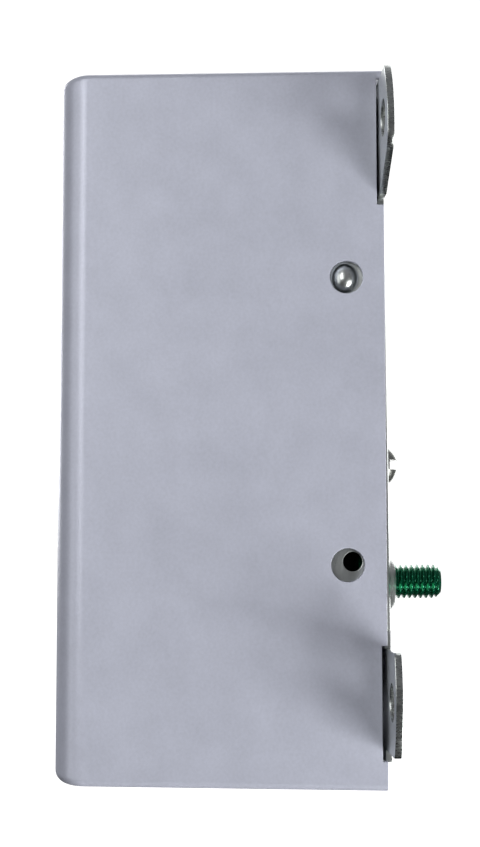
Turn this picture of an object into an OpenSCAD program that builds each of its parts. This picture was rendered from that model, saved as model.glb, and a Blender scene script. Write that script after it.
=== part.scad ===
// Surface-mounted manual transfer switch in a two-piece sheet-steel enclosure.
// The origin is the centre of the wall-bolt pattern, on the back plane.
// +X is to the right as seen from the front, +Y runs towards the wall, +Z is up.

/* [Enclosure] */
// Width of the cover at its open rear edge
cover_w = 54; // [53:0.5:56]
// Height of the cover at its open rear edge
cover_h = 101.6; // [101:0.2:104]
// Depth of the cover from its rear edge to the front face
cover_d = 46.2; // [45.8:0.2:48]
// How much each side wall of the cover leans in between the rear edge and the front
side_draft = 1.5; // [0.6:0.1:1.5]
// How much each end wall leans in over the same depth
end_draft = 0.6; // [0.4:0.1:1.2]
// Outer radius of the two upright front edges
side_edge_r = 4.1; // [3:0.1:5]
// Outer radius of the top and bottom front edges
end_edge_r = 2.1; // [1.8:0.1:3]
// Thickness of the sheet steel
sheet = 1; // [0.9:0.05:1]

/* [Wall mounting] */
// Upright distance between the wall bolts
bolt_span_z = 80.5; // [80:0.5:81]
// Distance from the cover's side wall out to the bolt holes
ear_hole_out = 5.2; // [4.8:0.1:5.4]
// Diameter of the bolt holes in the ears
ear_hole_d = 5.2; // [4.6:0.1:5.4]
// How far the upper ears reach out past the cover's side wall
upper_ear_out = 10.5; // [10.3:0.1:10.8]
// How far the lower ears reach out past the cover's side wall
lower_ear_out = 9.9; // [9.8:0.1:10.4]

/* [Toggle] */
// Depth of the pocket that the toggle stands in
pocket_d = 13; // [12.5:0.1:13.2]
// Width of the pocket
pocket_w = 20; // [18:0.5:22]
// Height of the pocket
pocket_h = 34; // [32:0.5:36]
// How far the toggle's tip stays behind the front face
tip_inset = 1.2; // [1:0.1:2]

/* [Hidden] */
$fn = 64;

// Heights. The box sits a little below the bolt pattern's centre.
box_z = -2;
switch_z = box_z - 5.2;
upper_hole_z = box_z + 20.8;
lower_hole_z = box_z - 19.8;
ground_z = box_z - 22.2;
knockout_z = box_z + 34;

// Places across the width.
wall_x = cover_w / 2;
ground_x = 18.9;
strap_screw_x = 14.6;

// Depths, measured from the back plane towards the front, which is -Y.
cover_rear = 0.6;
front_y = -cover_rear - cover_d;
side_hole_y = -6;
cover_screw_y = side_hole_y + 0.65;
cover_screw_z = lower_hole_z + 0.5;
strap_front = -sheet - 1.5;
body_back = strap_front;
body_front = -15;
cap_front = -31;
pivot_y = -22.5;
fulcrum_y = -7.5;
floor_y = body_back - 2;
pocket_floor_y = front_y + pocket_d - sheet;
tip_y = front_y + tip_inset;

// The cover sits a little askew on the base, its top nearer the wall.
cover_lean = 0.42;

// Notches in the cover's rear edge, where the ears pass out: heights from the box's middle.
upper_notch_z = [31.2, 49.4];
upper_notch_d = 1;
lower_notch_z = [-46.75, -31];
lower_notch_d = 0.75;

// Sheet-metal clearances and the chassis.
flange_x = wall_x - sheet - 0.5;
flange_reach = 12;
flange_z = [box_z - 29, box_z + 31];
end_flange_z = cover_h / 2 - sheet - 1.1;
end_flange_x = 20;
end_flange_reach = 29;
bend_r = 1.5;
side_hole_r = 2.35;
thread_hole_r = 1.36;
knockout_r = 11.1;

// Switch body, round the two poles and the places of their terminals.
body_x = 12.5;
body_z = 21;
cap_z = 12.4;
pole_x = 5.5;
cap_screw_x = 10.5;
cap_screw_z = 9.4;
strap = 1;
strap_half_w = 2.6;
well_half_w = 3.1;
leg_z = 11;
screw_z = 16.4;
side_screw_x = 17;
wing_x = 21;
contact_z = 8.4;
contact_r = 1.3;
contact_h = 0.7;
arm_half = 10;
arm_front = fulcrum_y - 2;
pin_r = 1.5;
pin_end = body_x + 1.9;
rivet_x = 10.5;
rivet_r = 0.9;
rivet_z = 3.7;
rivet_head_r = 1.5;
play = 0.05;
clamp_h = 1;
head_r = 3;
head_h = 2.1;
screw_r = 1.75;

// ---------- shared shapes ----------

// A block between two opposite corners, given in any order.
module block(a, b) {
    low = [for (i = [0 : 2]) min(a[i], b[i])];
    high = [for (i = [0 : 2]) max(a[i], b[i])];
    translate(low) cube(high - low);
}

// A round bar along X or Y, between two places.
module bar_x(r, x0, x1, y = 0, z = 0) {
    translate([min(x0, x1), y, z]) rotate([0, 90, 0]) cylinder(r = r, h = abs(x1 - x0));
}

module bar_y(r, y0, y1, x = 0, z = 0) {
    translate([x, y1, z]) rotate([90, 0, 0]) cylinder(r = r, h = y1 - y0);
}

// A plate with rounded corners that faces the front, w wide and h high.
module rounded_plate(w, h, r, y0, y1) {
    block([-w / 2 + r, y0, -h / 2], [w / 2 - r, y1, h / 2]);
    block([-w / 2, y0, -h / 2 + r], [w / 2, y1, h / 2 - r]);
    for (x = [-1, 1], z = [-1, 1])
        bar_y(r, y0, y1, x * (w / 2 - r), z * (h / 2 - r));
}

// A dome that rises along +Z from the origin: a slice of one ball.
module dome(r, h) {
    ball_r = (r * r + h * h) / (2 * h);
    intersection() {
        translate([0, 0, h - ball_r]) sphere(r = ball_r);
        cylinder(r = ball_r + 1, h = h + 1);
    }
}

// A shank hanging from z = 0, with rings of thread on its last turns.
module ridged_shank(r, pitch, length, turns) {
    root_r = r - pitch * 0.5;
    start = -length + pitch * turns;
    rotate_extrude()
        polygon(concat(
            [[0, 0], [root_r, 0], [root_r, start]],
            [for (i = [0 : turns - 1], k = [0 : 2])
                [k == 1 ? r : root_r, start - pitch * (i + [0.1, 0.5, 0.9][k])]],
            [[root_r, -length], [0, -length]]
        ));
}

// A slotted round head on z = 0, its slot turned away from X by slot_turn.
module slotted_head(r, h, slot_w, slot_d, slot_turn = 0) {
    difference() {
        dome(r, h);
        rotate([0, 0, slot_turn])
            translate([-r - 1, -slot_w / 2, h - slot_d]) cube([2 * r + 2, slot_w, slot_d + 1]);
    }
}

// Turns what was made along +Z to point at the front (-Y) or at the wall (+Y).
module to_front() rotate([90, 0, 0]) children();
module to_wall() rotate([-90, 0, 0]) children();

// Points along an arc, from angle a0 to angle a1.
function arc(centre, r, a0, a1, steps) =
    [for (i = [0 : steps]) let (a = a0 + (a1 - a0) * i / steps)
        centre + r * [cos(a), sin(a)]];

// ---------- enclosure ----------

// A section through drafted walls: across from -half_rear to half_rear, and depth deep.
module drafted_section(half_rear, half_front, depth, r) {
    lean = atan((half_rear - half_front) / depth);
    cv = -depth + r;
    cu = half_rear + (half_rear - half_front) * cv / depth - r / cos(lean);
    tangent = [cu + r * cos(lean), cv - r * sin(lean)];
    polygon([
        [-half_rear, 0], [half_rear, 0], tangent, [cu, -depth],
        [-cu, -depth], [-tangent[0], tangent[1]]
    ]);
    for (side = [-1, 1]) translate([side * cu, cv]) circle(r = r);
}

// The cover's outer form, or its hollow where inset is the sheet's thickness.
module cover_form(inset) {
    translate([0, -cover_rear, box_z]) intersection() {
        translate([0, 0, -cover_h / 2]) linear_extrude(cover_h)
            drafted_section(wall_x - inset, wall_x - side_draft - inset,
                            cover_d - inset, side_edge_r - inset);
        rotate([0, -90, 0]) translate([0, 0, -wall_x]) linear_extrude(cover_w)
            drafted_section(cover_h / 2 - inset, cover_h / 2 - end_draft - inset,
                            cover_d - inset, end_edge_r - inset);
    }
}

// Leans what sits on the base about the middle of the cover's rear edge.
module as_seated() {
    translate([0, -cover_rear, box_z]) rotate([-cover_lean, 0, 0])
        translate([0, cover_rear, -box_z]) children();
}

module ear_notch(z, depth) {
    block([-cover_w, -cover_rear - depth, box_z + z[0]], [cover_w, 1, box_z + z[1]]);
}

module cover() {
    slot = [9, 15];
    notch_half_w = 13;
    notch_front = -end_flange_reach - 1;
    pocket_r = 4;
    color([0.69, 0.71, 0.75]) as_seated() difference() {
        union() {
            difference() {
                cover_form(0);
                cover_form(sheet);
            }
            translate([0, 0, switch_z])
                rounded_plate(pocket_w + 2 * sheet, pocket_h + 2 * sheet, pocket_r + sheet,
                              front_y + sheet / 2, pocket_floor_y + sheet);
        }
        translate([0, 0, switch_z]) {
            rounded_plate(pocket_w, pocket_h, pocket_r, front_y - 1, pocket_floor_y);
            rounded_plate(slot[0], slot[1], 2, front_y, pocket_floor_y + 2);
        }
        for (z = [upper_hole_z, lower_hole_z])
            bar_x(side_hole_r, -cover_w, cover_w, side_hole_y, z);
        ear_notch(upper_notch_z, upper_notch_d);
        ear_notch(lower_notch_z, lower_notch_d);
        // deep notches in the end walls, which clear a conduit fitting
        for (end = [-1, 1])
            block([-notch_half_w, notch_front, box_z + end * (cover_h / 2 - 3 * sheet)],
                  [notch_half_w, 1, box_z + end * cover_h]);
    }
}

// Corner arc of an upper ear, tangent to its bulged edge and to its slanted lower edge.
// The slanted edge rises by half its run from the point foot.
function slant_corner(centre, bulge_r, foot, r) =
    let (along = [2, 1] / sqrt(5), up = [-1, 2] / sqrt(5), rel = centre - foot,
         run = rel * along + sqrt(pow(bulge_r - r, 2) - pow(rel * up - r, 2)),
         c = foot + run * along + r * up, toward = c - centre)
    arc(c, r, atan2(toward[1], toward[0]), atan2(-up[1], -up[0]), 8);

// Outlines of the ears: out from the cover's side wall, and up from the box's middle.
function upper_ear_outline() =
    let (r = 11.6, c = [upper_ear_out - r, 41], top = 49.1, foot = [0.3, 32.6],
         corner = slant_corner(c, r, foot, 3), first = corner[0] - c)
    concat([[-6, top]], arc(c, r, asin((top - c[1]) / r), atan2(first[1], first[0]), 14),
           corner, [foot, [-6, foot[1]]]);

function lower_ear_outline() =
    let (r = 15, c = [lower_ear_out - r, -37], top = -31.4, foot = -45.5, edge_r = 1,
         high = top - edge_r - c[1], low = foot + edge_r - c[1], reach = r - edge_r,
         high_x = c[0] + sqrt(reach * reach - high * high),
         low_x = c[0] + sqrt(reach * reach - low * low))
    concat([[-6, top]], arc([high_x, top - edge_r], edge_r, 90, asin(high / reach), 4),
           arc(c, r, asin(high / reach), asin(low / reach), 14),
           arc([low_x, foot + edge_r], edge_r, asin(low / reach), -90, 4), [[-6, foot]]);

// An ear with its outline on one side: 1 is right and -1 is left.
module ear(side, outline) {
    translate([0, 0, box_z]) rotate([90, 0, 0]) linear_extrude(sheet)
        polygon([for (p = outline) [side * (wall_x + p[0]), p[1]]]);
}

// The slit round a punched knockout, broken by two ties, across Z at the origin.
module knockout_slit() {
    slit = 0.3;
    tie = 3;
    difference() {
        cylinder(r = knockout_r, h = 4 * sheet, center = true);
        cylinder(r = knockout_r - slit, h = 5 * sheet, center = true);
        cube([tie, 3 * knockout_r, 5 * sheet], center = true);
    }
}

// A flange bent forward from the back plate, made for the right side: height z[0] to z[1].
module side_flange(side) {
    bend_x = flange_x - bend_r;
    difference() {
        union() {
            translate([side * bend_x, -bend_r, flange_z[0]])
                cylinder(r = bend_r, h = flange_z[1] - flange_z[0]);
            block([side * (flange_x - sheet), -flange_reach, flange_z[0]],
                  [side * flange_x, -bend_r, flange_z[1]]);
        }
        translate([side * bend_x, -bend_r, flange_z[0] - 1])
            cylinder(r = bend_r - sheet, h = flange_z[1] - flange_z[0] + 2);
        block([side * (bend_x - bend_r - 1), -flange_reach, flange_z[0] - 1],
              [side * (flange_x - sheet), -bend_r, flange_z[1] + 1]);
        block([side * (bend_x - bend_r - 1), -flange_reach, flange_z[0] - 1],
              [side * bend_x, -sheet, flange_z[1] + 1]);
    }
}

// A flange at the top (end is 1) or the bottom (end is -1), with its knockout.
module end_flange(end) {
    bend_z = end_flange_z - bend_r;
    translate([0, 0, box_z]) difference() {
        union() {
            bar_x(bend_r, -end_flange_x, end_flange_x, -bend_r, end * bend_z);
            block([-end_flange_x, -end_flange_reach, end * (end_flange_z - sheet)],
                  [end_flange_x, -bend_r, end * end_flange_z]);
        }
        bar_x(bend_r - sheet, -end_flange_x - 1, end_flange_x + 1, -bend_r, end * bend_z);
        block([-end_flange_x - 1, -end_flange_reach, end * (bend_z - bend_r - 1)],
              [end_flange_x + 1, -bend_r, end * (end_flange_z - sheet)]);
        block([-end_flange_x - 1, -end_flange_reach, end * (bend_z - bend_r - 1)],
              [end_flange_x + 1, -sheet, end * bend_z]);
        translate([0, -15.5, end * end_flange_z]) knockout_slit();
    }
}

// Pressed dimple that snaps into the cover's upper side hole.
module dimple(side) {
    translate([side * (flange_x - 0.01), side_hole_y, upper_hole_z])
        rotate([0, side * 90, 0]) dome(2.05, 1.3);
}

module chassis() {
    boss_r = 4.7;
    boss_top_r = 3.5;
    boss_h = 1.1;
    color([0.72, 0.74, 0.72]) difference() {
        union() {
            // back plate, with the notched corners that let the flanges bend
            block([-flange_x + bend_r, -sheet, box_z - end_flange_z + bend_r],
                  [flange_x - bend_r, 0, box_z + end_flange_z - bend_r]);
            for (side = [-1, 1]) {
                side_flange(side);
                dimple(side);
                ear(side, upper_ear_outline());
                ear(side, lower_ear_outline());
            }
            for (end = [-1, 1]) end_flange(end);
            translate([ground_x, -0.01, ground_z]) to_wall()
                cylinder(r1 = boss_r, r2 = boss_top_r, h = boss_h);
        }
        bar_y(2.47, -3, 5, ground_x, ground_z);
        for (side = [-1, 1]) {
            bar_y(1.85, -3, 3, side * strap_screw_x, switch_z);
            bar_x(thread_hole_r, side * (flange_x - 3), side * (flange_x + 3),
                  cover_screw_y, cover_screw_z);
            for (z = [-1, 1])
                bar_y(ear_hole_d / 2, -3, 3, side * (wall_x + ear_hole_out),
                      z * bolt_span_z / 2);
        }
        translate([0, 0, knockout_z]) rotate([90, 0, 0]) knockout_slit();
    }
}

// Screw through the far side's lower hole, into the chassis.
module cover_screw() {
    seat_x = wall_x - side_draft * (-side_hole_y - cover_rear) / cover_d + 0.1;
    color([0.75, 0.76, 0.74])
        translate([-seat_x, cover_screw_y, cover_screw_z]) rotate([0, -90, 0]) {
            slotted_head(3.3, 2.2, 1, 1.1, 25);
            ridged_shank(1.33, 0.8, 6, 4);
        }
}

// Thin plate on the pocket's floor with the position marks: I above, O beside, II below.
module legend_plate() {
    thick = 0.4;
    w = pocket_w - 0.8;
    h = pocket_h - 0.8;
    front = pocket_floor_y - thick;
    mark_d = thick / 2;
    mark_z = 11.6;
    stroke = 0.45;
    color([0.80, 0.81, 0.83]) as_seated() translate([0, 0, switch_z]) difference() {
        rounded_plate(w, h, 3.5, front, pocket_floor_y);
        rounded_plate(9, 15, 2, front - 1, pocket_floor_y + 1);
        block([-stroke, front - 1, mark_z - 2], [stroke, front + mark_d, mark_z + 2]);
        for (x = [-1.1, 1.1])
            block([x - stroke, front - 1, -mark_z - 2], [x + stroke, front + mark_d, -mark_z + 2]);
        difference() {
            bar_y(1.8, front - 1, front + mark_d, 7.2);
            bar_y(1, front - 2, front + thick, 7.2);
        }
    }
}

// Green grounding screw, driven from inside, whose thread stands out at the back.
module ground_screw() {
    pitch = 0.794;
    color([0.05, 0.42, 0.25]) translate([ground_x, -sheet, ground_z]) to_front() {
        difference() {
            union() {
                cylinder(r = 4.7, h = 0.8);
                translate([0, 0, 0.8]) cylinder(r = 4.3, h = 2.4, $fn = 6);
            }
            translate([-6, -0.6, 1.9]) cube([12, 1.2, 3]);
        }
        ridged_shank(2.42, pitch, 8.8, 9);
    }
}

// ---------- switch ----------

// Flat steel strap under the switch, tapped for the screws from the back.
module mounting_strap() {
    color([0.70, 0.72, 0.70]) translate([0, 0, switch_z]) difference() {
        block([-19, strap_front, -5], [19, -sheet, 5]);
        for (x = [-strap_screw_x, strap_screw_x]) bar_y(screw_r + play, -4, 0, x);
        for (p = [-1, 1]) {
            bar_y(rivet_r, -4, 0, p * rivet_x, p * rivet_z);
            bar_y(rivet_head_r + play, -sheet - 0.5, 0, p * rivet_x, p * rivet_z);
        }
    }
}

// Slotted round-head screws, driven from the back into the strap.
module strap_screws() {
    color([0.74, 0.76, 0.74]) for (x = [-strap_screw_x, strap_screw_x])
        translate([x, 0, switch_z]) to_wall() {
            slotted_head(head_r + 0.3, 2.2, 1.4, 1.3);
            ridged_shank(screw_r, 0.8, 4.4, 2);
        }
}

// Rivets that hold the strap to the moulded base.
module strap_rivets() {
    color([0.76, 0.70, 0.55]) for (p = [-1, 1])
        translate([p * rivet_x, 0, switch_z + p * rivet_z]) {
            bar_y(rivet_r - 0.03, body_back - 4.4, -sheet - 0.5);
            bar_y(rivet_head_r, -sheet - 0.5, -sheet);
        }
}

module switch_base() {
    barrier = 0.6;
    color([0.16, 0.13, 0.12]) translate([0, 0, switch_z]) difference() {
        union() {
            block([-body_x, body_front, -body_z], [body_x, body_back, body_z]);
            // shelves at the sides, which carry the load terminals
            for (side = [-1, 1])
                block([side * body_x, body_front, -4.6], [side * wing_x, body_front + 7, 4.6]);
            // barriers between the terminals
            for (end = [-1, 1], x = [-11.6, 0, 11.6])
                block([x - barrier, body_front - 5, end * (cap_z + 0.3)],
                      [x + barrier, body_front, end * body_z]);
        }
        for (p = [-1, 1]) {
            // pole well, and the channel for the load strap
            block([p * pole_x - well_half_w, body_front - 6, -leg_z - strap],
                  [p * pole_x + well_half_w, floor_y, leg_z + strap]);
            block([p * pole_x, body_front - 1, -strap_half_w],
                  [p * (body_x + strap), floor_y, strap_half_w]);
            bar_y(screw_r + play, body_front - 1, body_front + 6.9, p * side_screw_x);
            for (end = [-1, 1]) {
                bar_y(screw_r + play, body_front - 1, body_front + 8,
                      p * pole_x, end * screw_z);
                bar_y(1.2, body_front - 1, -6, p * cap_screw_x, end * cap_screw_z);
            }
            bar_y(rivet_r, body_back - 4.5, body_back + 1, p * rivet_x, p * rivet_z);
        }
    }
}

module switch_cap() {
    hollow_x = 8.8;
    hollow_z = 10.4;
    roof = 2;
    color([0.16, 0.13, 0.12]) translate([0, 0, switch_z]) difference() {
        union() {
            block([-body_x, cap_front, -cap_z], [body_x, body_front, cap_z]);
            // collar round the toggle's slot
            rounded_plate(14, 17, 2, cap_front - 1.4, cap_front + 1);
        }
        block([-hollow_x, cap_front + roof, -hollow_z], [hollow_x, body_front + 1, hollow_z]);
        block([-4, cap_front - 3, -6], [4, cap_front + roof + 1, 6]);
        bar_x(pin_r + play, -20, 20, pivot_y);
        for (p = [-1, 1]) {
            // ways out for the terminals
            for (end = [-1, 1]) {
                block([p * pole_x - 3, body_front - strap - 0.1, end * (hollow_z - 1)],
                      [p * pole_x + 3, body_front + 1, end * (cap_z + 1)]);
                bar_y(1.2, cap_front - 3, body_front + 1, p * cap_screw_x, end * cap_screw_z);
            }
            block([p * (hollow_x - 1), body_front - strap - 0.1, -3],
                  [p * (body_x + 1), body_front + 1, 3]);
        }
    }
}

module cap_screws() {
    color([0.74, 0.72, 0.66]) for (x = [-1, 1], end = [-1, 1])
        translate([x * cap_screw_x, cap_front, switch_z + end * cap_screw_z]) to_front() {
            slotted_head(1.9, 1.2, 0.6, 0.7, 35 * x * end);
            ridged_shank(1.15, 0.6, 23, 6);
        }
}

// ---------- toggle ----------

module toggle_handle() {
    hub_r = 4;
    root = pivot_y - hub_r + 1;
    tip_r = [3.4, 3, 2.5];
    color([0.07, 0.07, 0.08]) translate([0, 0, switch_z]) difference() {
        union() {
            bar_x(hub_r, -8.4, 8.4, pivot_y);
            for (p = [-1, 1]) bar_y(2.6, pivot_y, pivot_y + 8.5, p * pole_x);
            hull() {
                translate([-2.6, root, -1.7]) cube([5.2, 1, 3.4]);
                translate([0, tip_y + tip_r[1], 0]) scale(tip_r) sphere(r = 1, $fn = 32);
            }
        }
        bar_x(pin_r + play, -20, 20, pivot_y);
        for (p = [-1, 1]) bar_y(1.6, pivot_y + 3, pivot_y + 12, p * pole_x);
    }
}

// Pivot pin, with a head on the left and a groove for its clip on the right.
module pivot_pin() {
    groove_x = pin_end - 1;
    color([0.78, 0.78, 0.76]) translate([0, 0, switch_z]) difference() {
        union() {
            bar_x(pin_r, -body_x - 0.2, pin_end, pivot_y);
            bar_x(2.3, -body_x - 0.9, -body_x - 0.1, pivot_y);
        }
        difference() {
            bar_x(pin_r + 1, groove_x - 0.3, groove_x + 0.3, pivot_y);
            bar_x(pin_r - 0.4, 0, 20, pivot_y);
        }
    }
}

// Open retaining clip in the pin's groove.
module pin_clip() {
    x = pin_end - 1;
    color([0.30, 0.30, 0.32]) translate([0, 0, switch_z]) difference() {
        bar_x(2.6, x - 0.25, x + 0.25, pivot_y);
        bar_x(pin_r - 0.37, 0, 20, pivot_y);
        block([0, pivot_y - 4, -0.9], [20, pivot_y, 0.9]);
    }
}

module plungers() {
    nose = arm_front - 0.3;
    color([0.76, 0.62, 0.33]) for (p = [-1, 1]) translate([p * pole_x, 0, switch_z]) {
        bar_y(1.55, pivot_y + 6.2, nose - 1);
        translate([0, nose - 1.01, 0]) to_wall() dome(1.55, 1);
    }
}

// A coil spring that rises along +Z, as a closed sweep of rings.
module coil(r, wire, pitch, turns) {
    sides = 6;
    steps = 14 * turns;
    function ring_point(i, k) =
        let (a = 360 * turns * i / steps, b = 360 * k / sides, reach = r + wire * cos(b))
        [reach * cos(a), reach * sin(a), pitch * turns * i / steps + wire * sin(b)];
    polyhedron(
        points = [for (i = [0 : steps], k = [0 : sides - 1]) ring_point(i, k)],
        faces = concat(
            [[for (k = [0 : sides - 1]) k]],
            [for (i = [0 : steps - 1], k = [0 : sides - 1])
                let (a = i * sides + k, b = i * sides + (k + 1) % sides)
                [b, a, a + sides, b + sides]],
            [[for (k = [sides - 1 : -1 : 0]) steps * sides + k]]
        )
    );
}

module plunger_springs() {
    wire = 0.2;
    turns = 4;
    room = 3.2;
    color([0.62, 0.63, 0.65]) for (p = [-1, 1])
        translate([p * pole_x, pivot_y + 3, switch_z]) to_wall()
            translate([0, 0, wire + 0.03])
                coil(1.3, wire, (room - 2 * wire - 0.06) / turns, turns);
}

// ---------- contacts and terminals ----------

// Rocking arm whose grooved saddle sits on the load terminal's nose.
module contact_arm(p) {
    color([0.78, 0.50, 0.34]) translate([p * pole_x, 0, switch_z]) difference() {
        union() {
            block([-strap_half_w, arm_front, -arm_half],
                  [strap_half_w, arm_front + strap, arm_half]);
            block([-strap_half_w, arm_front + strap / 2, -2], [strap_half_w, fulcrum_y, 2]);
        }
        bar_x(1 + play, -5, 5, fulcrum_y);
    }
}

module contact_arm_left() contact_arm(-1);
module contact_arm_right() contact_arm(1);

module moving_contacts() {
    rear = arm_front + strap;
    color([0.86, 0.86, 0.84]) for (p = [-1, 1], end = [-1, 1])
        bar_y(contact_r, rear, rear + contact_h, p * pole_x, switch_z + end * contact_z);
}

module fixed_contacts() {
    front = floor_y - strap;
    color([0.86, 0.86, 0.84]) for (p = [-1, 1], end = [-1, 1])
        bar_y(contact_r, front - contact_h, front, p * pole_x, switch_z + end * contact_z);
}

// The two terminals at one end of the body, which carry the fixed contacts.
module end_terminals(end) {
    color([0.80, 0.66, 0.36]) translate([0, 0, switch_z]) for (p = [-1, 1]) {
        x0 = p * pole_x - strap_half_w;
        x1 = p * pole_x + strap_half_w;
        difference() {
            union() {
                block([x0, body_front - strap, end * leg_z], [x1, body_front, end * 20.4]);
                block([x0, body_front - strap, end * leg_z], [x1, floor_y, end * (leg_z + strap)]);
                block([x0, floor_y - strap, end * 6.6], [x1, floor_y, end * (leg_z + strap)]);
            }
            bar_y(screw_r + play, body_front - 3, body_front + 1, p * pole_x, end * screw_z);
        }
    }
}

module line_terminals() end_terminals(1);
module generator_terminals() end_terminals(-1);

// Load terminal of the pole on side p: a nose for the arm, and a strap out to the shelf.
module load_terminal(p) {
    nose_half = strap_half_w - 0.1;
    outer_x = body_x + strap;
    color([0.80, 0.66, 0.36]) translate([0, 0, switch_z]) {
        bar_x(1, p * pole_x - nose_half, p * pole_x + nose_half, fulcrum_y);
        block([p * pole_x - nose_half, fulcrum_y, -0.6],
              [p * pole_x + nose_half, floor_y - strap / 2, 0.6]);
        block([p * (pole_x - nose_half), floor_y - strap, -2.5], [p * outer_x, floor_y, 2.5]);
        block([p * body_x, body_front - strap, -2.5], [p * outer_x, floor_y, 2.5]);
        difference() {
            block([p * body_x, body_front - strap, -2.5], [p * 20.4, body_front, 2.5]);
            bar_y(screw_r + play, body_front - 3, body_front + 1, p * side_screw_x);
        }
    }
}

module load_terminal_left() load_terminal(-1);
module load_terminal_right() load_terminal(1);

// A terminal's screw, on its clamp plate, at a place on the front of the body.
module terminal_screw(x, z) {
    translate([x, body_front - strap - clamp_h, switch_z + z]) to_front() {
        slotted_head(head_r, head_h, 1, 1.1, 7 * x + 3 * z);
        ridged_shank(screw_r, 0.8, 7.5, 5);
    }
}

module line_screws() {
    color([0.78, 0.66, 0.36]) for (p = [-1, 1]) terminal_screw(p * pole_x, screw_z);
}

module generator_screws() {
    color([0.72, 0.73, 0.74]) for (p = [-1, 1]) terminal_screw(p * pole_x, -screw_z);
}

module load_screws() {
    color([0.78, 0.66, 0.36]) for (p = [-1, 1]) terminal_screw(p * side_screw_x, 0);
}

// A square clamp plate under a terminal's screw.
module wire_clamp(x, z) {
    rear = body_front - strap;
    translate([x, 0, switch_z + z]) difference() {
        block([-3.1, rear - clamp_h, -3.1], [3.1, rear, 3.1]);
        bar_y(screw_r + play, rear - 3, rear + 1);
    }
}

module wire_clamps() {
    color([0.76, 0.77, 0.76]) for (p = [-1, 1]) {
        for (end = [-1, 1]) wire_clamp(p * pole_x, end * screw_z);
        wire_clamp(p * side_screw_x, 0);
    }
}

// ---------- assembly ----------

chassis();
cover();
cover_screw();
legend_plate();
ground_screw();
mounting_strap();
strap_screws();
strap_rivets();
switch_base();
switch_cap();
cap_screws();
toggle_handle();
pivot_pin();
pin_clip();
plungers();
plunger_springs();
contact_arm_left();
contact_arm_right();
moving_contacts();
fixed_contacts();
load_terminal_left();
load_terminal_right();
line_terminals();
generator_terminals();
line_screws();
load_screws();
generator_screws();
wire_clamps();
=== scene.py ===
"""Looks for a surface-mounted manual transfer switch: a powder-coated cover on a zinc-plated base."""
import math

import bpy
from mathutils import Matrix, Vector


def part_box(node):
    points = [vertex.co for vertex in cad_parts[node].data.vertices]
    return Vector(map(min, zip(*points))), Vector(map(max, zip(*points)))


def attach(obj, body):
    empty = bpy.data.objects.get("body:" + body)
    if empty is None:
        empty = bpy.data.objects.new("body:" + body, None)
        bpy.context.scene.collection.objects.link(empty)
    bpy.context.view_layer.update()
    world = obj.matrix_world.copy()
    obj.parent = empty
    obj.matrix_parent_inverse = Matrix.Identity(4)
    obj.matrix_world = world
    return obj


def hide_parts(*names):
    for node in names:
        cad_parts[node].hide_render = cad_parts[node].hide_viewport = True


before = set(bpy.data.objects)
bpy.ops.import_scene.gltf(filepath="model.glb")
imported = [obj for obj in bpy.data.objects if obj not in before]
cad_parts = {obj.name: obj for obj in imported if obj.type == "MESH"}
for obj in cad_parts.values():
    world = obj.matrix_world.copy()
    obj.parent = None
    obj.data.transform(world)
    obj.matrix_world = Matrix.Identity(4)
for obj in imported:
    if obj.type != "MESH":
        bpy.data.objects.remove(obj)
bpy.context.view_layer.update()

MM = 0.001

# ---------- places, in millimetres; the switch's height is read from the imported model ---


def node_box(node):
    """Lowest and highest corner of a CAD node, in millimetres."""
    low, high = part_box(node)
    return low / MM, high / MM


SWITCH_Z = sum(corner.z for corner in node_box("switch_cap")) / 2
BOX_ABOVE_SWITCH = 5.2
BOX_Z = SWITCH_Z + BOX_ABOVE_SWITCH
HALF_W = 27.0
HALF_H = 50.8
DEPTH = 46.2
REAR_Y = -0.6
FRONT_Y = REAR_Y - DEPTH
SIDE_DRAFT = 1.5
END_DRAFT = 0.6
LEAN = 0.42
SHEET = 1.0
SIDE_BEND_R = 4.1
END_BEND_R = 2.1
SEAM_R = 0.8
INNER_SEAM_R = 0.3
SIDE_HOLE_R = 2.35
SIDE_HOLE_Y = -6.0
SIDE_HOLES_Z = (20.8, -19.8)
POCKET_DEPTH = 12
POCKET_FLOOR_Y = FRONT_Y + POCKET_DEPTH
POCKET_HALF = (10.0, 17.0)
POCKET_R = 4.0
SLOT_HALF = (4.5, 7.5)
SLOT_R = 2
# The dimple is squeezed front to back, in the part of the flange within its reach.
DIMPLE_SQUEEZE = 0.86
DIMPLE_REACH = 2.2
FLANGE_X = 25.52
EAR_ROOT_X = HALF_W + 0.5
# Depth, low end and high end of the notches in the rear edge, and of those in the end walls.
EAR_NOTCHES = ((1.0, 31.2, 49.4), (0.75, -46.75, -31.0))
END_NOTCH_HALF_W = 13.0
END_NOTCH_FRONT = -30.0
CUT_EDGE_R = 0.12
# How far a cutting block passes each side of the wall it cuts.
CUTTER_REACH = 5

# ---------- making pieces ----------


def activate(piece):
    """Leaves edit mode, and makes the piece the only one selected."""
    if bpy.context.mode != "OBJECT":
        bpy.ops.object.mode_set(mode="OBJECT")
    bpy.ops.object.select_all(action="DESELECT")
    piece.select_set(True)
    bpy.context.view_layer.objects.active = piece


def settle(piece, name):
    """Puts the new object's place into its mesh, and names it."""
    activate(piece)
    bpy.ops.object.transform_apply(location=True, rotation=True, scale=True)
    piece.name = name
    piece.data.name = name
    return piece


def block(name, low, high):
    bpy.ops.object.select_all(action="DESELECT")
    low, high = Vector(low), Vector(high)
    bpy.ops.mesh.primitive_cube_add(size=1, location=(low + high) / 2 * MM)
    piece = bpy.context.object
    piece.scale = (high - low) * MM
    return settle(piece, name)


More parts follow.
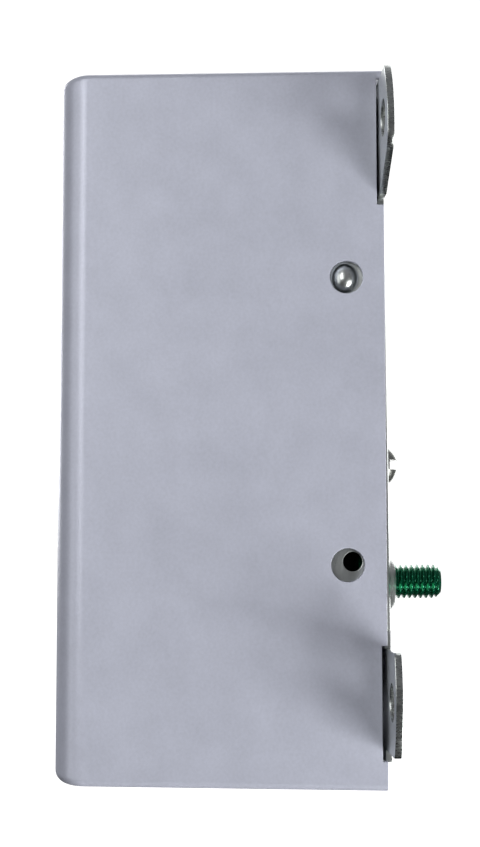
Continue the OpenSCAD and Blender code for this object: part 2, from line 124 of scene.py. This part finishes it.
def rod(name, radius, start, end, vertices=64):
    """A cylinder between two points."""
    bpy.ops.object.select_all(action="DESELECT")
    start, end = Vector(start), Vector(end)
    bpy.ops.mesh.primitive_cylinder_add(
        vertices=vertices, radius=radius * MM, depth=(end - start).length * MM,
        location=(start + end) / 2 * MM,
        rotation=(end - start).to_track_quat("Z", "Y").to_euler())
    return settle(bpy.context.object, name)


def select_edges(piece, wanted):
    """Enters edit mode with only the edges selected whose two ends, in millimetres, are wanted."""
    activate(piece)
    bpy.ops.object.mode_set(mode="EDIT")
    bpy.ops.mesh.select_mode(type="EDGE")
    bpy.ops.mesh.select_all(action="DESELECT")
    bpy.ops.object.mode_set(mode="OBJECT")
    points = piece.data.vertices
    for edge in piece.data.edges:
        edge.select = wanted(*(points[i].co / MM for i in edge.vertices))
    bpy.ops.object.mode_set(mode="EDIT")


def select_faces(piece, wanted):
    """Enters edit mode with only the faces selected whose middle and normal are wanted."""
    activate(piece)
    bpy.ops.object.mode_set(mode="EDIT")
    bpy.ops.mesh.select_mode(type="FACE")
    bpy.ops.mesh.select_all(action="DESELECT")
    bpy.ops.object.mode_set(mode="OBJECT")
    for face in piece.data.polygons:
        face.select = wanted(face.center / MM, face.normal)
    bpy.ops.object.mode_set(mode="EDIT")


def modify(piece, kind, **settings):
    """Adds a modifier and applies it."""
    activate(piece)
    modifier = piece.modifiers.new(kind.title(), kind)
    for name, value in settings.items():
        setattr(modifier, name, value)
    bpy.ops.object.modifier_apply(modifier=modifier.name)


def combine(piece, tool, operation="DIFFERENCE"):
    """Cuts the tool from the piece, or joins it on, and removes the tool."""
    modify(piece, "BOOLEAN", object=tool, operation=operation, solver="EXACT")
    bpy.data.objects.remove(tool)


def rounded_block(name, half, radius, front, rear):
    """A block round the toggle's middle, with its four corners rounded as seen from the front."""
    piece = block(name, (-half[0], front, SWITCH_Z - half[1]), (half[0], rear, SWITCH_Z + half[1]))
    select_edges(piece, lambda a, b: abs(a.y - b.y) > 0.01)
    bpy.ops.mesh.bevel(offset=radius * MM, segments=10, affect="EDGES")
    bpy.ops.object.mode_set(mode="OBJECT")
    return piece


def round_off(piece, width=CUT_EDGE_R):
    """Breaks the sharp edges as a press tool and plating do, and smooths the shading."""
    modify(piece, "BEVEL", width=width * MM, segments=2, limit_method="ANGLE",
           angle_limit=math.radians(40), use_clamp_overlap=False)
    activate(piece)
    bpy.ops.object.shade_smooth_by_angle(angle=math.radians(35))
    modify(piece, "WEIGHTED_NORMAL", keep_sharp=True)


def copy_node(node, name):
    """A merged copy of a CAD node's mesh, with its flat faces whole again."""
    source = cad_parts[node]
    piece = bpy.data.objects.new(name, source.data.copy())
    bpy.context.scene.collection.objects.link(piece)
    piece.data.name = name
    piece.data.materials.clear()
    activate(piece)
    bpy.ops.object.mode_set(mode="EDIT")
    bpy.ops.mesh.select_all(action="SELECT")
    bpy.ops.mesh.remove_doubles(threshold=0.002 * MM)
    bpy.ops.mesh.dissolve_limited(angle_limit=math.radians(0.5))
    bpy.ops.object.mode_set(mode="OBJECT")
    if piece.data.has_custom_normals:
        bpy.ops.mesh.customdata_custom_splitnormals_clear()
    return piece


# ---------- materials ----------


def linear(hex_colour):
    """An sRGB hex colour as linear RGBA."""
    channels = [int(hex_colour[i:i + 2], 16) / 255 for i in (1, 3, 5)]
    return [c / 12.92 if c <= 0.04045 else ((c + 0.055) / 1.055) ** 2.4 for c in channels] + [1]


def per_mm(size):
    """The texture scale at which a pattern repeats about every size millimetres."""
    return 1 / (size * MM)


def add(tree, kind, settings=None, **inputs):
    """Adds a node. An input that is a socket is linked, and any other is set."""
    node = tree.nodes.new(kind)
    for name, value in (settings or {}).items():
        setattr(node, name, value)
    for name, value in inputs.items():
        socket = node.inputs[name.replace("_", " ")]
        if isinstance(value, bpy.types.NodeSocket):
            tree.links.new(value, socket)
        else:
            socket.default_value = value
    return node


def surface(name, base, grain, rough, metallic=0.0, coat=0.0, bump=0.0, stretch=(1, 1, 1)):
    """A material whose colour and roughness vary between two values with a grain of a real size.

    base is two hex colours, grain the pattern's size in millimetres, rough the two roughnesses,
    and bump the height of the fine relief in millimetres.
    """
    material = bpy.data.materials.new(name)
    material.use_nodes = True
    tree = material.node_tree
    shader = tree.nodes["Principled BSDF"]
    shader.inputs["Metallic"].default_value = metallic
    shader.inputs["Coat Weight"].default_value = coat
    shader.inputs["Coat Roughness"].default_value = 0.12
    position = add(tree, "ShaderNodeTexCoord").outputs["Object"]
    drawn = add(tree, "ShaderNodeMapping", Vector=position, Scale=stretch).outputs["Vector"]
    broad = add(tree, "ShaderNodeTexNoise", Vector=drawn, Scale=per_mm(grain), Detail=3.0)
    fine = add(tree, "ShaderNodeTexNoise", Vector=drawn, Scale=per_mm(grain / 12), Detail=2.0)
    both = add(tree, "ShaderNodeMix", {"data_type": "FLOAT"})
    both.inputs["Factor"].default_value = 0.5
    tree.links.new(broad.outputs["Fac"], both.inputs[2])
    tree.links.new(fine.outputs["Fac"], both.inputs[3])
    colour = add(tree, "ShaderNodeMix", {"data_type": "RGBA"})
    tree.links.new(both.outputs[0], colour.inputs["Factor"])
    colour.inputs[6].default_value = linear(base[0])
    colour.inputs[7].default_value = linear(base[1])
    tree.links.new(colour.outputs[2], shader.inputs["Base Color"])
    roughness = add(tree, "ShaderNodeMapRange", Value=both.outputs[0],
                    From_Min=0.3, From_Max=0.7, To_Min=rough[0], To_Max=rough[1])
    tree.links.new(roughness.outputs["Result"], shader.inputs["Roughness"])
    if bump:
        relief = add(tree, "ShaderNodeBump", Height=fine.outputs["Fac"], Distance=bump * MM,
                     Strength=1.0)
        tree.links.new(relief.outputs["Normal"], shader.inputs["Normal"])
    return material


# Polyester powder coat with fine metal flake: satin, with the low orange peel of a baked film.
POWDER_COAT = surface("grey_powder_coat", ("#a6a9b5", "#c4c7d5"), 5, (0.34, 0.4), metallic=0.2,
                      bump=0.01)
# Zinc-plated steel sheet, rolled: soft mirror with a faint grain along its length.
ZINC_SHEET = surface("zinc_plated_sheet", ("#b9bdbb", "#ccd0cd"), 3, (0.26, 0.42), metallic=1.0,
                     bump=0.003, stretch=(1, 1, 0.25))
# The sheared edge of the plated sheet, dragged across. Its dark colour is painted shade, standing for
# the dim surroundings that the ears' rims and hole walls reflect.
EDGE_WITH_PAINTED_SHADE = surface("sheared_edge_painted_shade", ("#747877", "#c4c8c5"), 3, (0.2, 0.34),
                       metallic=1.0, bump=0.002, stretch=(1, 0.4, 1))
# Bright zinc-plated screws: smooth rolled steel with a thin clear passivate.
ZINC_SCREW = surface("bright_zinc_screw", ("#8e918d", "#b9bbb5"), 1.5, (0.22, 0.36),
                     metallic=1.0, bump=0.002)
# Zinc plate under green dye, the code colour of a grounding screw: a tinted, glossy metal.
GREEN_DYE = surface("green_dyed_zinc", ("#04543a", "#0b7a55"), 1.2, (0.16, 0.3), metallic=0.85,
                    coat=0.4, bump=0.004)
# Clear anodised aluminium: a fine matt grain from etching.
ANODISED = surface("anodised_aluminium", ("#bfc1c5", "#cdcfd2"), 2, (0.34, 0.44), metallic=1.0,
                   bump=0.002)
# Phenolic moulding: dark brown thermoset with a dull skin and faint filler mottling.
PHENOLIC = surface("brown_phenolic", ("#2a211d", "#382c26"), 2.5, (0.42, 0.58), bump=0.006)
# Nylon toggle: black, moulded in a polished tool, slightly softened by handling.
NYLON = surface("black_nylon", ("#0f0f11", "#18181b"), 3, (0.24, 0.36), bump=0.002)
# Rolled cartridge brass: warm, with a thin uneven tarnish.
BRASS = surface("rolled_brass", ("#c29a4b", "#dcb968"), 4, (0.22, 0.38), metallic=1.0, bump=0.002)
# Hard copper strip: reddish, tarnished in patches.
COPPER = surface("copper_strip", ("#b06a45", "#d08a62"), 4, (0.24, 0.4), metallic=1.0, bump=0.002)
# Silver alloy contact rivets: almost white, lightly frosted by coining.
SILVER = surface("silver_contact", ("#d8d8d4", "#ebebe7"), 1, (0.24, 0.36), metallic=1.0)
# Oiled spring steel: dark grey, drawn along the wire.
SPRING = surface("spring_steel", ("#5c5e63", "#7c7e83"), 1, (0.26, 0.4), metallic=1.0)
# Filled paint in the legend's stamped marks: flat black.
MARK_PAINT = surface("mark_paint", ("#101012", "#1b1b1e"), 1, (0.5, 0.6))

FINISH = {
    "mounting_strap": ZINC_SHEET, "strap_rivets": BRASS, "switch_base": PHENOLIC,
    "cap_screws": ZINC_SCREW, "pivot_pin": ZINC_SCREW, "pin_clip": SPRING, "plungers": BRASS,
    "plunger_springs": SPRING, "contact_arm_left": COPPER, "contact_arm_right": COPPER,
    "moving_contacts": SILVER, "fixed_contacts": SILVER, "load_terminal_left": BRASS,
    "load_terminal_right": BRASS, "line_terminals": BRASS, "generator_terminals": BRASS,
    "line_screws": BRASS, "load_screws": BRASS, "generator_screws": ZINC_SCREW,
    "wire_clamps": ZINC_SCREW,
}


def finish_nodes():
    """Gives each CAD node that stays its real finish."""
    for node, material in FINISH.items():
        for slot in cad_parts[node].material_slots:
            slot.material = material


def stand_for(piece, node, body="enclosure"):
    """Lets a finished piece stand for a CAD node."""
    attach(piece, body)
    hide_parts(node)


# ---------- cover ----------


def cover_form(name, inset=0.0):
    """The drawn form: tapered walls, round bends at the front, tight seams between the walls.

    With an inset, it is the space inside the sheet, and it comes out past the open back.
    """
    half_w, half_h = HALF_W - inset, HALF_H - inset
    front, rear = FRONT_Y + inset, REAR_Y + inset
    side_bend, end_bend = SIDE_BEND_R - inset, END_BEND_R - inset
    seam = max(SEAM_R - inset, INNER_SEAM_R)
    piece = block(name, (-half_w, front, BOX_Z - half_h), (half_w, rear, BOX_Z + half_h))
    select_faces(piece, lambda middle, normal: normal.y < -0.9)
    bpy.ops.transform.resize(value=(1 - SIDE_DRAFT / half_w, 1, 1 - END_DRAFT / half_h),
                             center_override=(0, front * MM, BOX_Z * MM))
    select_edges(piece, lambda a, b: max(a.y, b.y) < front + 0.01 and abs(a.z - b.z) > 1)
    bpy.ops.mesh.bevel(offset=side_bend * MM, segments=14, affect="EDGES")
    bpy.ops.object.mode_set(mode="OBJECT")
    weights = piece.data.attributes.new("bevel_weight_edge", "FLOAT", "EDGE")
    points = piece.data.vertices
    for edge in piece.data.edges:
        a, b = (points[i].co / MM for i in edge.vertices)
        if (a.z - BOX_Z) * (b.z - BOX_Z) < 0 or min(a.y, b.y) > rear - 0.01:
            continue
        share = (b - a).normalized().x ** 2
        weights.data[edge.index].value = (seam + (end_bend - seam) * share) / end_bend
    modify(piece, "BEVEL", width=end_bend * MM, segments=8, limit_method="WEIGHT",
           use_clamp_overlap=False)
    return piece


def cover_shell():
    piece = cover_form("cover_shell")
    combine(piece, cover_form("cover_space", SHEET))
    wall = (POCKET_HALF[0] + SHEET, POCKET_HALF[1] + SHEET)
    combine(piece, rounded_block("tub", wall, POCKET_R + SHEET, FRONT_Y + SHEET / 2,
                                 POCKET_FLOOR_Y + SHEET), "UNION")
    combine(piece, rounded_block("pocket", POCKET_HALF, POCKET_R, FRONT_Y - 2, POCKET_FLOOR_Y))
    combine(piece, rounded_block("slot", SLOT_HALF, SLOT_R, POCKET_FLOOR_Y - 1, POCKET_FLOOR_Y + 2))
    inside, outside = HALF_W - CUTTER_REACH, HALF_W + CUTTER_REACH
    for side in (-1, 1):
        for z in SIDE_HOLES_Z:
            combine(piece, rod("hole", SIDE_HOLE_R, (side * inside, SIDE_HOLE_Y, BOX_Z + z),
                               (side * outside, SIDE_HOLE_Y, BOX_Z + z)))
        near, far = sorted((side * inside, side * outside))
        for depth, low, high in EAR_NOTCHES:
            combine(piece, block("notch", (near, REAR_Y - depth, BOX_Z + low),
                                 (far, REAR_Y + 2, BOX_Z + high)))
    for end in (-1, 1):
        near, far = sorted((BOX_Z + end * (HALF_H - 3), BOX_Z + end * (HALF_H + 5)))
        combine(piece, block("end_notch", (-END_NOTCH_HALF_W, END_NOTCH_FRONT, near),
                             (END_NOTCH_HALF_W, REAR_Y + 2, far)))
    round_off(piece)
    middle = Vector((0, REAR_Y, BOX_Z)) * MM
    piece.data.transform(Matrix.Translation(middle) @ Matrix.Rotation(math.radians(-LEAN), 4, "X")
                         @ Matrix.Translation(-middle))
    piece.data.materials.append(POWDER_COAT)
    stand_for(piece, "cover")


# ---------- base ----------


def base_sheet():
    """The plated base, with the sheared edges of its ears and the walls of their holes in a finish of
    their own, darkened as painted shade.
    """
    piece = copy_node("chassis", "base_sheet")
    round_off(piece)
    piece.data.materials.append(ZINC_SHEET)
    piece.data.materials.append(EDGE_WITH_PAINTED_SHADE)
    for point in piece.data.vertices:
        x, y, z = point.co / MM
        if FLANGE_X < abs(x) < HALF_W and abs(z - BOX_Z - SIDE_HOLES_Z[0]) < DIMPLE_REACH:
            point.co.y = (SIDE_HOLE_Y + (y - SIDE_HOLE_Y) * DIMPLE_SQUEEZE) * MM
    # Ear faces turned sideways, the rims and hole walls, take the sheared-edge finish, whose dark
    # colour is painted shade.
    for face in piece.data.polygons:
        on_ear = abs(face.center.x / MM) > EAR_ROOT_X
        face.material_index = 1 if on_ear and abs(face.normal.y) < 0.8 else 0
    stand_for(piece, "chassis")


# ---------- screws ----------

THREAD_PITCH = 0.794
THREAD_R = 2.415
THREAD_DEPTH = 0.61 * THREAD_PITCH
ROWS_PER_TURN = 14
# Shares of half a turn taken by the flat crest and by the flank.
CREST_SHARE = 0.14
FLANK_SHARE = 0.7
# The end of the thread: how far back its chamfer starts, its slope, and how much it takes off.
CHAMFER_START = 0.45
CHAMFER_SLOPE = 0.9
CHAMFER_DROP = 0.25
# Height of the strap screws' crown, and of the plainer head that it is drawn up from.
STRAP_CROWN = 2.6
STRAP_HEAD = 2.2


def thread_radius(y, angle, end):
    """Radius of a 60 degree thread at a depth and an angle, with a chamfered end."""
    turn = (y / THREAD_PITCH - angle / (2 * math.pi)) % 1
    slope = min(max((abs(turn - 0.5) * 2 - CREST_SHARE) / FLANK_SHARE, 0), 1)
    radius = THREAD_R - THREAD_DEPTH * slope
    chamfer = THREAD_R - CHAMFER_DROP + (end - CHAMFER_START - y) * CHAMFER_SLOPE
    return min(radius, chamfer)


def ground_screw():
    """The green screw: its head inside the box, and a true helical thread out of the back."""
    low, high = node_box("ground_screw")
    centre = (low + high) / 2
    root = -0.2
    piece = copy_node("ground_screw", "ground_screw_green")
    activate(piece)
    bpy.ops.object.mode_set(mode="EDIT")
    bpy.ops.mesh.select_all(action="SELECT")
    bpy.ops.mesh.bisect(plane_co=(0, root * MM, 0), plane_no=(0, 1, 0), use_fill=True,
                        clear_outer=True)
    bpy.ops.object.mode_set(mode="OBJECT")
    bpy.ops.object.select_all(action="DESELECT")
    bpy.ops.mesh.primitive_circle_add(vertices=72, radius=THREAD_R * MM, fill_type="NGON",
                                      location=(centre.x * MM, root * MM, centre.z * MM),
                                      rotation=(math.radians(-90), 0, 0))
    thread = settle(bpy.context.object, "thread")
    rows = int((high.y - root) / THREAD_PITCH * ROWS_PER_TURN)
    step = (high.y - root) / rows
    bpy.ops.object.mode_set(mode="EDIT")
    bpy.ops.mesh.select_all(action="SELECT")
    for _ in range(rows):
        bpy.ops.mesh.extrude_region_move(TRANSFORM_OT_translate={"value": (0, step * MM, 0)})
    bpy.ops.mesh.select_all(action="SELECT")
    bpy.ops.mesh.normals_make_consistent(inside=False)
    bpy.ops.object.mode_set(mode="OBJECT")
    for point in thread.data.vertices:
        away = Vector((point.co.x / MM - centre.x, point.co.z / MM - centre.z))
        radius = thread_radius(point.co.y / MM, math.atan2(away.y, away.x), high.y)
        away = away.normalized() * radius
        point.co.x = (centre.x + away.x) * MM
        point.co.z = (centre.z + away.y) * MM
    activate(thread)
    bpy.ops.object.shade_smooth_by_angle(angle=math.radians(30))
    round_off(piece, 0.1)
    piece.select_set(True)
    thread.select_set(True)
    bpy.context.view_layer.objects.active = piece
    bpy.ops.object.join()
    piece.data.materials.clear()
    piece.data.materials.append(GREEN_DYE)
    stand_for(piece, "ground_screw")


def soft_copy(node, name, material, body="enclosure", width=0.08):
    """A CAD node with its edges broken, in its real finish."""
    piece = copy_node(node, name)
    round_off(piece, width)
    piece.data.materials.append(material)
    stand_for(piece, node, body)
    return piece


def strap_screws():
    """The two slotted screws in the back, with the high crown of a round head."""
    piece = soft_copy("strap_screws", "strap_screws_slotted", ZINC_SCREW)
    for point in piece.data.vertices:
        if point.co.y > 0:
            point.co.y *= STRAP_CROWN / STRAP_HEAD


def legend():
    """The position plate, with paint in the floors of its stamped marks."""
    piece = soft_copy("legend_plate", "legend", ANODISED, width=0.03)
    piece.data.materials.append(MARK_PAINT)
    low, high = node_box("legend_plate")
    middle = (low + high) / 2
    for face in piece.data.polygons:
        off = face.center / MM - middle
        sunk = abs(off.y - off.z * math.tan(math.radians(LEAN))) < 0.05 and face.normal.y < -0.9
        face.material_index = 1 if sunk else 0


# ---------- camera, light and surroundings ----------


def camera():
    data = bpy.data.cameras.new("camera")
    data.lens = 66.36
    data.sensor_width = 36
    viewer = bpy.data.objects.new("camera", data)
    bpy.context.scene.collection.objects.link(viewer)
    viewer.location = (0.24447, -0.02674, -0.02048)
    viewer.rotation_euler = [math.radians(angle) for angle in (94.875, 0.417, 88.535)]
    bpy.context.scene.camera = viewer


def softbox(name, stand, target, size, power):
    """A rectangular soft light, size wide and high in metres, turned to its target."""
    data = bpy.data.lights.new(name, "AREA")
    data.shape = "RECTANGLE"
    data.size, data.size_y = size
    data.energy = power
    light = bpy.data.objects.new(name, data)
    bpy.context.scene.collection.objects.link(light)
    light.location = stand
    light.rotation_euler = (Vector(stand) - Vector(target)).to_track_quat("Z", "Y").to_euler()


def surroundings():
    """A white studio: pale floor well below the switch, and a dim room that the metal reflects."""
    world = bpy.data.worlds.new("studio")
    bpy.context.scene.world = world
    world.use_nodes = True
    tree = world.node_tree
    tree.nodes.clear()
    seen = add(tree, "ShaderNodeBackground", Color=(1, 1, 1, 1), Strength=1.1)
    direction = add(tree, "ShaderNodeTexCoord").outputs["Generated"]
    up = add(tree, "ShaderNodeSeparateXYZ", Vector=direction).outputs["Z"]
    height = add(tree, "ShaderNodeMapRange", Value=up, From_Min=-0.5, From_Max=1.0, To_Min=0.05,
                 To_Max=0.34)
    ambient = add(tree, "ShaderNodeBackground", Color=linear("#f4f4fa"),
                  Strength=height.outputs["Result"])
    path = add(tree, "ShaderNodeLightPath")
    mix = add(tree, "ShaderNodeMixShader", Fac=path.outputs["Is Camera Ray"])
    tree.links.new(ambient.outputs[0], mix.inputs[1])
    tree.links.new(seen.outputs[0], mix.inputs[2])
    add(tree, "ShaderNodeOutputWorld", Surface=mix.outputs[0])
    bpy.ops.object.select_all(action="DESELECT")
    bpy.ops.mesh.primitive_plane_add(size=30, location=(0, 0, -0.6))
    floor = settle(bpy.context.object, "floor")
    paint = bpy.data.materials.new("white_floor")
    paint.use_nodes = True
    shader = paint.node_tree.nodes["Principled BSDF"]
    shader.inputs["Base Color"].default_value = (0.9, 0.9, 0.9, 1)
    shader.inputs["Roughness"].default_value = 0.9
    shader.inputs["Emission Color"].default_value = (1, 1, 1, 1)
    shader.inputs["Emission Strength"].default_value = 1.0
    floor.data.materials.append(paint)
    floor.visible_diffuse = False
    floor.visible_glossy = False


def lights():
    side = (HALF_W * MM, -0.01, 0)
    softbox("low_rear", (0.247, 0.39, -0.33), side, (0.34, 0.34), 5.0)
    softbox("beside_lens", (0.735, -0.4, 0.28), (0.027, -0.03, 0), (0.26, 0.66), 2.7)
    softbox("front_quarter", (0.43, -0.72, 0.05), (0.027, -0.04, 0), (0.3, 0.8), 1.3)
    softbox("over_far_side", (-0.35, 0.1, 0.6), (0, 0, 0), (0.5, 0.5), 1.6)
    softbox("far_side", (-0.6, 0.3, 0.1), (0, 0, 0), (0.5, 0.6), 3)
    softbox("far_front", (-0.6, -0.45, 0.2), (0, 0, 0), (0.4, 0.4), 3)
    bpy.context.scene.view_settings.view_transform = "Standard"


camera()
finish_nodes()
cover_shell()
base_sheet()
ground_screw()
strap_screws()
soft_copy("cover_screw", "cover_screw_slotted", ZINC_SCREW)
soft_copy("switch_cap", "switch_cap_moulded", PHENOLIC, width=0.2)
soft_copy("toggle_handle", "toggle_handle_moulded", NYLON, body="toggle")
legend()
surroundings()
lights()
